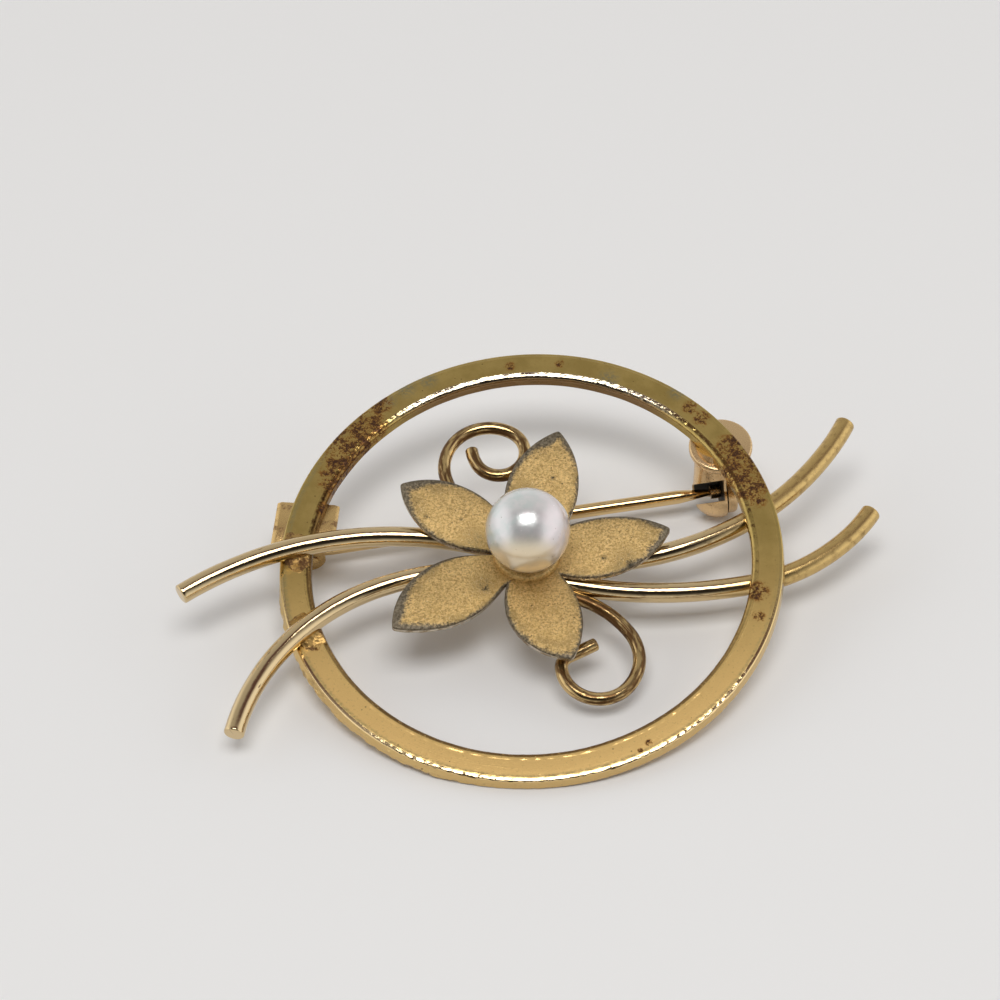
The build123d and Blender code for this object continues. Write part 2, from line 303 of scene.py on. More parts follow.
def ringFinish():
    look = Finish("satin gold of the ring")
    flat, run = look.place(), look.place("run")
    cloud = look.grain(flat, 0.55, 4.0, 0.6)
    fine = look.grain(flat, 5.0, 4.0, 0.65)
    specks = look.grain(flat, 11.0, 2.0, 0.5)
    patchy = look.grain(flat, 1.7, 4.0, 0.68)
    radius, depth = look.part(run, 1), look.part(run, 2)
    nearSide = look.rise(look.part(flat, 1), 3.0, -11.0)
    farSide = look.rise(look.part(flat, 1), 9.5, 11.5)
    edgeSide = nearSide.higher(look.rise(look.part(flat, 0), -8.0, -13.0))
    # tarnish: a brown halo that breaks up at its border, with a dark core
    blotch = look.rise(patchy + (fine - 0.5) * 0.7 + (specks - 0.5) * 0.5, 0.36, 0.66)
    tarnish = look.rise(look.spots(ringTarnish, 0.85, 0.85), 0.0, 0.9) * (blotch * 1.05 + 0.22)
    halo = look.rise(tarnish, 0.06, 0.72)
    core = look.rise(tarnish + (specks - 0.5) * 0.5, 0.50, 0.96)
    greys = look.spots(ringGreys, 1.0, 0.8)
    # thin painted dark lines where the face turns over on the near and left sides, standing in for the dark
    # reflection there, with some tarnish; a painted grey-green reflection line just inside the worn outer edge
    innerShadeLine = look.rise(radius, 13.40, 13.30) * look.rise(fine, 0.2, 0.45)
    outerReflectionLine = look.rise(radius, 14.40, 14.62) * look.rise(radius, 14.78, 14.71) * look.rise(fine, 0.3, 0.6)
    dust = look.rise(look.cells(flat, 1.6) + (specks - 0.5) * 0.1, 0.10, 0.05)
    # both edges are polished smoother; on the far inner one and the near outer one a pale painted highlight is
    # laid where they catch the light
    outside = look.rise(radius, 14.68, 14.73)
    shallow = look.rise(depth, -0.14, -0.07)
    polish = (look.rise(radius, 13.52, 13.40) * (1.0 - nearSide)).higher(outside)
    pale = polish * shallow * (farSide * (1.0 - outside)).higher(nearSide * outside * 0.5)
    colour = look.blend(look.rise(cloud, 0.35, 0.65), ringTones["olive"], ringTones["oliveLight"])
    # the first tone, near, is a painted reflection: the near side coloured lighter and warmer
    for mask, tone in [(nearSide, "near"), (look.rise(fine, 0.54, 0.72) * 0.35, "mottle"),
                       (greys * look.rise(fine, 0.35, 0.6) * 0.7, "grey"),
                       (innerShadeLine * edgeSide * 0.85, "innerShadeLine"),
                       (outerReflectionLine * edgeSide * 0.6, "outerReflectionLine"), (dust * 0.7, "dust"),
                       # painted shade on the far inner wall, where it would reflect the shaded floor
                       (polish * (1.0 - shallow) * farSide * 0.7, "farWallShade"), (pale * 0.85, "paleHighlight"),
                       # painted shade on the near outer wall
                       (outside * (1.0 - shallow) * nearSide * 0.7, "nearWallShade"), (halo, "halo")]:
        colour = look.blend(mask, colour, ringTones[tone])
    deepest = look.blend(look.rise(specks, 0.50, 0.72), ringTones["core"], ringTones["coreLight"])
    scratches = look.grain(look.stretched(run, (0.5, 14.0, 14.0)), 1.0, 3.0)
    return look.done(Base_Color=look.blend(core, colour, deepest), Metallic=1.0 - core * 0.12,
                     Roughness=(0.24 + fine * 0.12) * (1.0 - polish * 0.68) + halo * 0.12 + core * 0.12,
                     Normal=look.bump(fine * 0.5 + scratches * 0.35 + specks * 0.4, 0.012))


# Wire finish: polished along the wire with brown streaks, dull and mottled towards the right ends
wireTones = {"stem": (0.69, 0.53, 0.30), "tendril": (0.62, 0.44, 0.20), "pin": (0.74, 0.53, 0.26),
             "rightEnd": (0.62, 0.43, 0.17), "streak": (0.13, 0.065, 0.022)}


def wireFinish(name, tint, streaks, worn=0.0):
    look = Finish(name)
    run, flat = look.place("run"), look.place()
    along = look.grain(look.stretched(run, (0.35, 2.2, 2.2)), 1.0, 4.0, 0.6)
    fine = look.grain(look.stretched(run, (2.0, 8.0, 8.0)), 1.0, 3.0, 0.6)
    spots = look.grain(flat, 2.2, 4.0, 0.6)
    mask = look.rise(along + (fine - 0.5) * 0.35, 0.70 - streaks, 0.80 - streaks * 0.8)
    right = look.rise(look.part(flat, 0), 9.0, 14.5) * worn
    mask = mask.higher(right * look.rise(spots + (fine - 0.5) * 0.4, 0.46, 0.80) * 0.6)
    colour = look.blend(mask, look.blend(right, tint, wireTones["rightEnd"]), wireTones["streak"])
    return look.done(Base_Color=colour, Metallic=1.0 - mask * 0.15,
                     Roughness=0.06 + fine * 0.05 + mask * 0.22 + right * 0.14,
                     Normal=look.bump(fine * 0.6 + spots * 0.4, 0.006))


# Petal finish: sandblasted gold with painted highlights on its grains, rubbed through to grey metal at the
# border. Spots are x, y, z and size.
petalTones = {"dim": (0.34, 0.22, 0.078), "bright": (0.76, 0.53, 0.225), "even": (0.52, 0.35, 0.13),
              "border": (0.23, 0.165, 0.07), "soiled": (0.085, 0.075, 0.035), "sparkleHighlight": (0.92, 0.72, 0.42),
              "grey": (0.10, 0.08, 0.055), "greyLight": (0.28, 0.235, 0.165), "wall": (0.30, 0.22, 0.12),
              "wallLight": (0.70, 0.62, 0.50), "speck": (0.035, 0.03, 0.02)}
petalSpecks = [(1.24, 4.95, 0.99, 0.14), (-4.13, 1.85, 1.27, 0.12), (-6.2, 1.92, 1.49, 0.13),
               (4.37, -0.46, 0.75, 0.16), (5.9, -0.86, 0.72, 0.24), (-2.54, -2.78, 1.13, 0.22)]
petalSoil = [(-3.25, 0.46, 1.15, 0.8), (-6.09, -1.68, 1.46, 0.6), (-2.6, -2.6, 1.13, 0.7),
             (5.7, -0.7, 0.72, 0.8), (-0.4, 4.2, 1.1, 0.5)]


def petalFinish():
    look = Finish("sandblasted gold of the petals")
    flat = look.place()
    rim = look.share("rim")
    sparkle = look.grain(flat, 6.5, 4.0, 0.75)
    sand = look.grain(flat, 17.0, 2.0, 0.6)
    cloud = look.grain(flat, 0.9, 3.0, 0.6)
    edge = look.rise(rim + (sparkle - 0.5) * 0.8 + (cloud - 0.5) * 0.6, 0.14, -0.14)
    wall = look.rise(rim, -0.80, -0.95)
    dirt = look.rise(look.cells(flat, 2.3) + (sparkle - 0.5) * 0.3, 0.11, 0.03)
    dirt = dirt.higher(look.spots(petalSpecks, 1.0, 0.6) * look.rise(sparkle, 0.42, 0.56))
    colour = look.blend(look.rise(sparkle, 0.34, 0.62), petalTones["dim"], petalTones["bright"])
    grey = look.blend(look.rise(sparkle, 0.35, 0.65), petalTones["grey"], petalTones["greyLight"])
    side = look.blend(look.rise(cloud, 0.42, 0.6), petalTones["wall"], petalTones["wallLight"])
    soil = look.spots(petalSoil, 1.0, 0.8) * look.rise(sparkle, 0.42, 0.62)
    for mask, tone in [(look.rise(cloud, 0.35, 0.75) * 0.5, petalTones["even"]),
                       (look.rise(rim, 0.75, 0.25) * look.rise(cloud, 0.42, 0.62) * 0.45, petalTones["border"]),
                       (soil * 0.7, petalTones["soiled"]),
                       # painted highlights: bright grains that stand in for the sparkle of light
                       (look.rise(sand, 0.60, 0.70) * 0.8, petalTones["sparkleHighlight"]),
                       (edge, grey), (wall, side), (dirt * (1.0 - wall), petalTones["speck"])]:
        colour = look.blend(mask, colour, tone)
    return look.done(Base_Color=colour, Metallic=1.0 - dirt * 0.6, Roughness=0.40 - wall * 0.16 + dirt * 0.3,
                     Normal=look.bump(sand * 0.5 + sparkle * 0.8, 0.05))


def plainMetal(name, tint, roughness, dark=(0.25, 0.14, 0.06), amount=0.5, slotShadow=None):
    look = Finish(name)
    flat = look.place()
    cloud = look.grain(flat, 1.3, 4.0, 0.62)
    fine = look.grain(flat, 8.0, 3.0, 0.6)
    mask = look.rise(cloud + (fine - 0.5) * 0.4, 0.72 - amount * 0.25, 0.86 - amount * 0.2)
    colour = look.blend(mask, tint, dark)
    if slotShadow:
        # painted shadow inside a slot: near-black colour round its middle
        deep = look.near(slotShadow["middle"], slotShadow["reach"], slotShadow["blur"])
        colour = look.blend(deep, colour, slotShadow["dirt"])
        mask = mask.higher(deep)
    return look.done(Base_Color=colour, Metallic=1.0 - mask * 0.35,
                     Roughness=roughness + fine * 0.12 + mask * 0.2, Normal=look.bump(fine, 0.01))


# Pearl finish: greenish and white lustre, a painted pinkish sheen at the right, a painted warm reflection of the
# petals at the bottom, and a painted warmer sheen at the outline
pearlTones = {"green": (0.66, 0.72, 0.70), "white": (0.78, 0.76, 0.76), "pinkSheen": (0.82, 0.70, 0.72),
              "warm": (0.88, 0.74, 0.52), "speck": (0.20, 0.17, 0.13), "rim": (0.68, 0.62, 0.53)}


def pearlFinish():
    look = Finish("pearl lustre")
    flat = look.place()
    cloud = look.grain(flat, 1.1, 3.0, 0.6)
    fine = look.grain(flat, 5.5, 3.0, 0.6)
    facing = Field(look, look.add("ShaderNodeLayerWeight", {}, {"Blend": 0.5}).outputs["Facing"])
    tint = look.blend(look.rise(cloud, 0.35, 0.65), pearlTones["green"], pearlTones["white"])
    # painted sheen and reflection: pink at the right, the petals' warm reflection at the bottom, a warmer, darker
    # tone where the surface turns away from the view
    for mask, tone in [(look.rise(look.part(flat, 0), -0.6, 1.9) * 0.6, "pinkSheen"),
                       (look.rise(look.part(flat, 1), -1.5, -2.5), "warm"),
                       (look.rise(look.cells(flat, 2.2), 0.08, 0.03), "speck"),
                       (look.rise(facing, 0.62, 0.97), "rim")]:
        tint = look.blend(mask, tint, pearlTones[tone])
    return look.done(Base_Color=tint, Metallic=0.5, Roughness=0.2 + fine * 0.1, Coat_Weight=0.7,
                     Coat_Roughness=0.05, Normal=look.bump(fine + cloud, 0.008))


# painted shadow in the catch's slot: the near-black colour round the ball's middle
catchSlotShadow = {"middle": (11.115, 7.244, -3.9), "reach": 1.5, "blur": 0.05, "dirt": (0.022, 0.015, 0.010)}
warmGold = (0.74, 0.52, 0.28)
ringGold = ringFinish()
stemGold = wireFinish("polished gold of the stems", wireTones["stem"], 0.05, 1.0)
tendrilGold = wireFinish("gold of the tendrils", wireTones["tendril"], 0.27)
pinGold = wireFinish("gold of the pin", wireTones["pin"], 0.05)
petalGold = petalFinish()
solderBrown = plainMetal("browned solder", (0.46, 0.29, 0.10), 0.32, dark=(0.13, 0.06, 0.02), amount=1.15)
plateGold = plainMetal("pale gold of the hinge", (0.66, 0.45, 0.19), 0.22, amount=0.95)
catchGold = plainMetal("warm gold of the catch", warmGold, 0.20, amount=0.45, slotShadow=catchSlotShadow)
lockGold = plainMetal("warm gold of the lock", warmGold, 0.20, amount=0.45)
pearlLustre = pearlFinish()
print("brooch: finishes mixed")

# Ring: a flat band whose face ends in a facet and a round on both sides, with a torn wall at the lower left
ringLooks = {"steps": 1080, "facet": 0.16, "facetSlope": 13.0, "bevel": 0.36, "bevelFrom": 20.0,
             "wallFrom": 0.3, "outerFacet": 0.10, "outerRound": 0.15, "outerDrop": 0.018, "backRound": 0.05,
             "edgeBreak": 0.08, "crown": 0.02, "wave": 0.02, "lean": 0.1, "torn": (183, 195, 246, 268),
             "tornReach": 0.17, "nicked": (228, 250, 318, 335), "nicks": 0.03}


def ringProfile():
    # radius, height and part of the ring, once round its section
    outer, deep = brooch["ringRadius"], brooch["ringThickness"]
    inner = outer - brooch["ringWidth"]
    back, small, bevel = ringLooks["backRound"], ringLooks["edgeBreak"], ringLooks["bevel"]
    degreesDown = ringLooks["facetSlope"]
    slope = radians(degreesDown)
    # outside: a wall, a small round and a narrow worn facet that catches the light
    faceEdge, facet, bend = outer - brooch["ringRoll"], ringLooks["outerFacet"], ringLooks["outerRound"]
    facetEnd = (faceEdge + facet, -ringLooks["outerDrop"] - facet * tan(slope))
    outerArc = arcPoints((facetEnd[0] - bend * sin(slope), facetEnd[1] - bend * cos(slope)), bend, 7,
                         90 - degreesDown, 8)
    # inside: a shallow facet, then the metal turns over into the wall
    low = -ringLooks["facet"] * tan(slope)
    centre = (inner + bevel * cos(radians(ringLooks["bevelFrom"])), low - bevel * cos(slope))
    turnStart = centre[0] - bevel * sin(slope)
    faceEnd = turnStart + ringLooks["facet"]
    parts = [("back", [(r, -deep) for r in spread(inner + small, outer - back, 8)]),
             ("outerWall", arcPoints((outer - back, -deep + back), back, -70, 0, 3)
              + straight((outer, -deep + 2 * back), outerArc[0], 7)[:-1]),
             ("outerEdge", outerArc + straight(facetEnd, (faceEdge, -ringLooks["outerDrop"]), 3)[1:]
              + [(faceEdge - 0.05, -0.004)]),
             ("face", [(r, 0.0) for r in spread(faceEdge - 0.14, faceEnd + 0.04, 12)]),
             ("innerEdge", straight((faceEnd, 0.0), (turnStart, low), 4)[:-1]
              + arcPoints(centre, bevel, 90 + degreesDown, 180 - ringLooks["bevelFrom"], 8)),
             ("innerWall", [(inner, z) for z in spread(-ringLooks["wallFrom"], -deep + small, 5)]),
             ("back", arcPoints((inner + small, -deep + small), small, 190, 260, 3))]
    return [(r, z, part) for part, points in parts for r, z in points]


def makeRing():
    profile = ringProfile()
    shape = Shape()
    loops, runs = [], []
    for k in range(ringLooks["steps"]):
        angle = 360.0 * k / ringLooks["steps"]
        way = Vector((cos(radians(angle)), sin(radians(angle)), 0))
        torn, nicked = onStretch(angle, *ringLooks["torn"]), onStretch(angle, *ringLooks["nicked"])
        farSide = eased(way.y, 0.1, 0.8)
        loop, run = [], []
        for r, z, part in profile:
            x, y = way.x * r, way.y * r
            sway = ringLooks["wave"] * ripple(x, y, 3.0, 5.0)
            newR, newZ = r, z + sway
            if part == "face":
                newZ -= ringLooks["crown"] * ((r - ringMiddle) / (brooch["ringWidth"] / 2)) ** 2
            if part in ("outerWall", "outerEdge"):
                rag = ripple(x, y, z * 3, 0.35) * 0.6 + ripple(x, y, z * 3, 0.9) * 0.5
                newR += torn * eased(-z, 0.1, 0.45) * (ringLooks["tornReach"] * (0.62 + 0.7 * rag))
                newR += nicked * ringLooks["nicks"] * ripple(x, y, z * 2, 0.28)
                newZ += nicked * ringLooks["nicks"] * ripple(y, x, z * 2, 0.3) * (part == "outerEdge")
            if part in ("innerEdge", "innerWall"):
                deepness = between(-z, ringLooks["wallFrom"], brooch["ringThickness"])
                newR += 0.012 * ripple(x, y, z, 1.1) - ringLooks["lean"] * farSide * deepness
                if part == "innerEdge":
                    newZ += 0.016 * ripple(x, y, 9.0, 0.4) + 0.012 * ripple(x, y, 3.0, 0.15)
            loop.append(way * newR + Vector((0, 0, newZ)))
            run.append((radians(angle) * ringMiddle, r, z))
        loops.append(loop)
        runs.append(run)
    shape.addLoops(loops, closed=True, runs=runs)
    return shape.build("ring", ringGold, crease=32)


# Stems and tendrils: round wire along a chain of bends. Shares of the ring's radius and degrees.
wires = {
    "stemUpper": {"tip": (-1.369, -0.212), "heading": 38.0,
                  "bends": [(1.395, -53.8), (1.089, 28.6), (1.225, 51.9)]},
    "stemLower": {"tip": (-1.109, -0.824), "heading": 80.2,
                  "bends": [(0.891, -55.0), (1.005, -38.3), (1.723, 28.1), (0.781, 43.2)]},
    "tendrilUpper": {"tip": (-0.0930, 0.0815), "heading": 151.3,
                     "bends": [(0.533, -40.3), (0.199, -62.1), (0.178, -73.7), (0.113, -121.1), (0.100, -93.9),
                               (0.201, -17.3)]},
    "tendrilLower": {"tip": (0.065, -0.110), "heading": -27.6,
                     "bends": [(1.093, 7.2), (0.418, -32.3), (0.202, -74.8), (0.145, -136.5), (0.055, -66.6),
                               (3.7, 1.65)]},
}
stemWire = {"radius": brooch["stemRadius"], "sides": 48, "step": 0.16, "unevenness": 0.008}
tendrilWire = {"radius": brooch["tendrilRadius"], "sides": 40, "step": 0.1, "unevenness": 0.012}


def wireLine(row, step):
    # points, headings and lengths along the wire in its own plane, from one cut end to the other
    heading = radians(row["heading"])
    x, y = (share * brooch["ringRadius"] for share in row["tip"])
    line = [(x, y, heading, 0.0)]
    length = brooch["endLength"]
    x, y = x + cos(heading) * length, y + sin(heading) * length
    for share, turn in row["bends"]:
        radius = share * brooch["ringRadius"]
        side = 1 if turn > 0 else -1
        middleX, middleY = x - sin(heading) * radius * side, y + cos(heading) * radius * side
        count = max(4, int(abs(radians(turn)) * max(radius, 2.0) / step))
        for k in range(count):
            bent = heading + radians(turn) * k / count
            line.append((middleX + sin(bent) * radius * side, middleY - cos(bent) * radius * side, bent,
                         length + abs(radians(turn)) * radius * k / count))
        heading += radians(turn)
        x, y = middleX + sin(heading) * radius * side, middleY - cos(heading) * radius * side
        length += abs(radians(turn)) * radius
    line.append((x, y, heading, length))
    line.append((x + cos(heading) * brooch["endLength"], y + sin(heading) * brooch["endLength"], heading,
                 length + brooch["endLength"]))
    return line


def onStemPlane(x, y, height=0.0):
    return stemMiddle + stemAcross * x + Vector((0, y, 0)) + stemUp * height


def makeWire(name, material, radius, sides, step, unevenness):
    line = wireLine(wires[name], step)
    seed = len(name) * 7.3 + radius * 31
    # each cut end is a flat with a rounded border: how far inward, and how thick
    rounding = brooch["endRound"]
    end = [(0.0, (radius - rounding) * share) for share in (0.02, 0.35, 0.7)]
    end += [(rounding * (1 - cos(a)), radius - rounding * (1 - sin(a))) for a in spread(0.0, pi / 2, 5)]
    stations = [(line[0], inward, thick) for inward, thick in end]
    stations += [(place, 0.0, radius) for place in line[1:-1]]
    stations += [(line[-1], -inward, thick) for inward, thick in reversed(end)]
    loops, runs = [], []
    for (x, y, heading, along), inward, thick in stations:
        along += inward
        tangent = stemAcross * cos(heading) + Vector((0, 1, 0)) * sin(heading)
        side = stemUp.cross(tangent)
        middle = onStemPlane(x + cos(heading) * inward, y + sin(heading) * inward)
        middle += side * 0.02 * ripple(along, seed, 0, 3.5) + stemUp * 0.02 * ripple(seed, along, 0, 4.0)
        loop, run = [], []
        for a in (2 * pi * k / sides for k in range(sides)):
            bumps = ripple(along * 0.8, seed + cos(a), sin(a), 1.0)
            bumps += 0.5 * ripple(along * 2.5, seed + 2 * cos(a), 2 * sin(a), 1.0)
            r = thick * (1 + unevenness * bumps)
            loop.append(middle + side * cos(a) * r + stemUp * sin(a) * r)
            run.append((along, cos(a) * radius, sin(a) * radius + seed))
        loops.append(loop)
        runs.append(run)
    shape = Shape()
    shape.addLoops(loops, runs=runs)
    return shape.build(name, material, crease=60)


# Solder that ran along each stem on the band: two shoulders beside the wire, lumpy and brown
solderLooks = {"width": 1.55, "climb": 0.3, "lumps": 0.10, "rows": 44, "columns": 51, "sunk": 0.05,
               "step": 0.08, "innerGap": 0.1, "overRoll": 0.08}


def makeSolder(name, stem, onTheLeft):
    inner = brooch["ringRadius"] - brooch["ringWidth"] + solderLooks["innerGap"]
    outer = brooch["ringRadius"] - brooch["ringRoll"] + solderLooks["overRoll"]
    face, lift = (0.0, 1) if onTheLeft else (-brooch["ringThickness"], -1)
    over = [p for p in wireLine(wires[stem], solderLooks["step"])
            if inner < hypot(p[0], p[1]) < outer and (p[0] < 0) == onTheLeft]
    rows, columns = solderLooks["rows"], solderLooks["columns"]
    loops = []
    for i in range(rows + 1):
        x, y, heading, along = over[round(i * (len(over) - 1) / rows)]
        endFade = min(1.0, 0.55 + 3.0 * min(i, rows - i) / rows)
        loop, base = [], []
        for j in range(columns + 1):
            share = 2 * j / columns - 1
            width = solderLooks["width"] * (0.86 + 0.24 * ripple(along, share * 0.7, lift * 3, 0.7)) * endFade
            away = share * width
            px, py = x - sin(heading) * away, y + cos(heading) * away
            pull = between(abs(away), 0.5, width)
            height = solderLooks["climb"] * (1 - pull) ** 2 * endFade
            height += solderLooks["lumps"] * (0.4 + ripple(px, py, 5.0, 0.28)) * (1 - abs(share) ** 4) * endFade
            if abs(share) > 0.985:
                height = -solderLooks["sunk"]
            distance = hypot(px, py)
            held = max(inner, min(outer, distance))
            if held != distance:
                height = min(height, 0.02)
            px, py = px * held / distance, py * held / distance
            loop.append(Vector((px, py, face + lift * height)))
            base.append(Vector((px, py, face - lift * solderLooks["sunk"] * 1.5)))
        # top and underside as one closed skin
        loops.append(loop + base[::-1])
    shape = Shape()
    shape.addLoops(loops)
    return shape.build(name, solderBrown, crease=50)


# Flower: one stamped sheet of five domed petals. Shares of the reach and width, and degrees. The two marks go
# into the note "rim", the distance inside the worn border, and tell the finish where wall and underside are.
flowerLooks = {"x": -0.25, "y": -0.2, "lift": 0.63, "reach": 8.9, "width": 4.4, "rise": 2.8, "sheet": 0.45,
               "dome": 0.16, "edge": 0.1, "angles": 1440, "rings": 30, "softTip": 0.9,
               "borderDrop": 0.05, "wallMark": 0.8, "underMark": 0.9, "cupRadius": 2.05, "cupHeight": 0.5,
               "cupTaper": 12, "seatRadius": 2.54, "pegRadius": 0.4, "pegHeight": 1.5}
# Pearl: drilled from below up to the hole's top
pearlLooks = {"radius": 2.5, "lift": 0.12, "hole": 0.45, "holeTop": 1.67, "unevenness": 0.006, "rings": 112,
              "steps": 160}
petals = [
    {"angle": 150.3, "root": 0.105, "reach": 0.998, "left": 0.449, "right": 0.453},
    {"angle": 79.0, "root": -0.011, "reach": 0.989, "left": 0.512, "right": 0.467},
    {"angle": 12.9, "root": -0.024, "reach": 0.975, "left": 0.374, "right": 0.546},
    {"angle": -68.5, "root": 0.009, "reach": 0.867, "left": 0.394, "right": 0.577},
    {"angle": -143.8, "root": 0.110, "reach": 1.067, "left": 0.413, "right": 0.546},
]
flowerMiddle = onStemPlane(flowerLooks["x"], flowerLooks["y"], flowerLooks["lift"])


def petalEdge(row, angle):
    # distance from the flower's middle to the petal's outline in this direction, or 0 where it misses
    away = (angle - row["angle"] + 180) % 360 - 180
    root, tip = row["root"] * flowerLooks["reach"], row["reach"] * flowerLooks["reach"]
    half = (tip - root) / 2
    side = 1 if away >= 0 else -1
    wide = (row["left"] if side > 0 else row["right"]) * flowerLooks["width"]
    curve = (half * half + wide * wide) / (2 * wide)
    middle = Vector(((root + tip) / 2, side * (wide - curve)))
    way = Vector((cos(radians(away)), sin(radians(away))))
    along = way.dot(middle)
    inside = along * along - middle.dot(middle) + curve * curve
    if inside <= 0:
        return 0.0
    return max(0.0, along + sqrt(inside))


def petalHeight(x, y):
    # how high the sheet's top stands above the flower's plane at this point
    highest = 0.0
    for row in petals:
        angle = radians(row["angle"])
        along = x * cos(angle) + y * sin(angle)
        across = -x * sin(angle) + y * cos(angle)
        tip = row["reach"] * flowerLooks["reach"]
        wide = (row["left"] if across > 0 else row["right"]) * flowerLooks["width"]
        dome = flowerLooks["dome"] * (1 - min(1.0, (across / wide) ** 2)) * eased(along, 1.5, 4.5)
        dome *= 1 - 0.8 * eased(along, tip - 2.6, tip)
        height = along * sin(radians(flowerLooks["rise"])) + dome
        highest = max(highest, height if along > 0 else 0.0)
    return highest


def onFlower(x, y, height):
    return flowerMiddle + stemAcross * x + Vector((0, y, 0)) + stemUp * height


def makeFlower():
    count, edge, sheet = flowerLooks["angles"], flowerLooks["edge"], flowerLooks["sheet"]
    cupRadius, borderDrop = flowerLooks["cupRadius"], flowerLooks["borderDrop"]
    # the petals' outline, with its tips and notches softened
    radii = [max([cupRadius] + [petalEdge(row, 360.0 * k / count) for row in petals]) for k in range(count)]
    reach = max(1, round(flowerLooks["softTip"] * count / 360))
    near = range(-2 * reach, 2 * reach + 1)
    weights = [exp(-(i / reach) ** 2) for i in near]
    soft = [sum(w * radii[(k + i) % count] for w, i in zip(weights, near)) / sum(weights) for k in range(count)]
    outline = [Vector((cos(2 * pi * k / count) * r, sin(2 * pi * k / count) * r)) for k, r in enumerate(soft)]
    # inward direction at each point, so that the rounded edge keeps its width at the notches
    # the worn border is widest on the edges that face up and left, and at the tips
    inward, worn = [], []
    for k, point in enumerate(outline):
        run = (outline[(k + 2) % count] - outline[k - 2]).normalized()
        inward.append(Vector((-run.y, run.x)))
        facing = max(0.0, inward[k].x * 0.6 - inward[k].y * 0.8)
        worn.append(0.13 + 0.20 * facing + 0.24 * eased(point.length, 6.8, 8.6))
    loops, rim, runs = [], [], []

    def addLoop(points, lifts, gaps, wall=0.0):
        places = [(q.x, q.y, petalHeight(q.x, q.y) + lift) for q, lift in zip(points, lifts)]
        loops.append([onFlower(*place) for place in places])
        runs.append(places)
        rim.extend(gap - width - wall for gap, width in zip(gaps, worn))

    def moved(distance):
        return [q + n * distance for q, n in zip(outline, inward)]

    inset = moved(edge)
    # top, from the middle outwards
    for share in [0.004] + [(k / flowerLooks["rings"]) ** 0.8 for k in range(1, flowerLooks["rings"])] + [1.0]:
        points = [q * share for q in inset]
        gaps = [(1 - share) * q.length * 0.62 + edge for q in inset]
        addLoop(points, [sheet - borderDrop * exp(-(gap / 0.25) ** 2) + 0.008 * ripple(q.x, q.y, 0, 0.7)
                         for q, gap in zip(points, gaps)], gaps)
    # rounded edge, uneven wall and foot
    for a in (25, 50, 75):
        out = edge * sin(radians(a))
        lift = sheet - borderDrop - edge * (1 - cos(radians(a)))
        addLoop(moved(edge - out), [lift] * count, [edge - out] * count)
    for share in (0.62, 0.35, 0.12):
        points = [q + n * 0.012 * ripple(q.x, q.y, share, 0.25) for q, n in zip(outline, inward)]
        addLoop(points, [sheet * share] * count, [0.0] * count, flowerLooks["wallMark"])
    addLoop(moved(0.05), [0.0] * count, [0.0] * count, flowerLooks["wallMark"])
    # underside, from the edge inwards
    for share in (0.9, 0.7, 0.5, 0.3, 0.1, 0.004):
        addLoop([q * share for q in inset], [0.0] * count, [flowerLooks["underMark"]] * count)
    shape = Shape()
    shape.addLoops(loops, runs=runs)
    # cup with a seat for the pearl, and the peg that stands in it
    seat, pegRadius = flowerLooks["seatRadius"], flowerLooks["pegRadius"]
    pearlHeight = sheet + pearlLooks["lift"] + pearlLooks["radius"]
    top = sheet + flowerLooks["cupHeight"]
    narrow = cupRadius - flowerLooks["cupHeight"] * sin(radians(flowerLooks["cupTaper"]))
    lip = sqrt(seat ** 2 - (pearlHeight - top) ** 2)
    profile = [(sheet * 0.5, cupRadius - 0.02), (sheet + 0.02, cupRadius), (sheet + 0.1, cupRadius - 0.03),
               (top - 0.05, narrow + 0.02), (top - 0.01, narrow - 0.02), (top, narrow - 0.06), (top, lip + 0.02)]
    profile += [(pearlHeight - seat * cos(a), seat * sin(a))
                for a in spread(asin(lip / seat), asin(pegRadius / seat), 8)[1:]]
    pegTop = sheet + pearlLooks["lift"] + flowerLooks["pegHeight"]
    profile += [(pegTop - 0.05, pegRadius), (pegTop, pegRadius - 0.05), (pegTop, 0.01)]
    shape.addTurned(flowerMiddle, stemUp, profile)
    rim += [flowerLooks["underMark"]] * (len(shape.points) - len(rim))
    return shape.build("flowerSheet", petalGold, crease=45, shares={"rim": rim})


def makePearl():
    sheet, radius, hole = flowerLooks["sheet"], pearlLooks["radius"], pearlLooks["hole"]
    middle = sheet + pearlLooks["lift"] + radius
    mouth = asin(hole / radius)
    profile = [(sheet + pearlLooks["holeTop"], 0.005), (sheet + pearlLooks["holeTop"], hole),
               (middle - radius * cos(mouth) + 0.03, hole)]
    profile += [(middle - radius * cos(a), radius * sin(a))
                for a in spread(mouth + 0.008, pi - 0.004, pearlLooks["rings"])]
    shape = Shape()
    shape.addTurned(flowerMiddle, stemUp, profile, pearlLooks["steps"])
    centre = flowerMiddle + stemUp * middle
    for i, point in enumerate(shape.points):
        away = point - centre
        if away.length > radius * 0.99:
            shape.points[i] = centre + away * (1 + pearlLooks["unevenness"] * (ripple(*point, 1.6) - 0.3))
    return shape.build("pearlBead", pearlLustre, crease=60)


# Hinge: plate soldered to the ring's back, two ears and the rivet
rivetMiddle = Vector((-13.7134, 2.4180, -3.2))
ballMiddle = Vector((11.1151, 7.2438, -3.9))
pinWay = (ballMiddle - rivetMiddle).normalized()
rivetWay = Vector((0, 0, 1)).cross(pinWay).normalized()
pinUp = pinWay.cross(rivetWay)
hingeLooks = {"length": 3.8, "width": 3.2, "shift": 0.31, "thickness": 0.35, "turn": -4.0, "earRadius": 0.95,
              "earThickness": 0.3, "earInside": 0.48, "hole": 0.36, "soft": 0.05, "endSlope": 0.24,
              "rivetRadius": 0.35, "headRadius": 0.55, "headHeight": 0.16, "headSoft": 0.03}


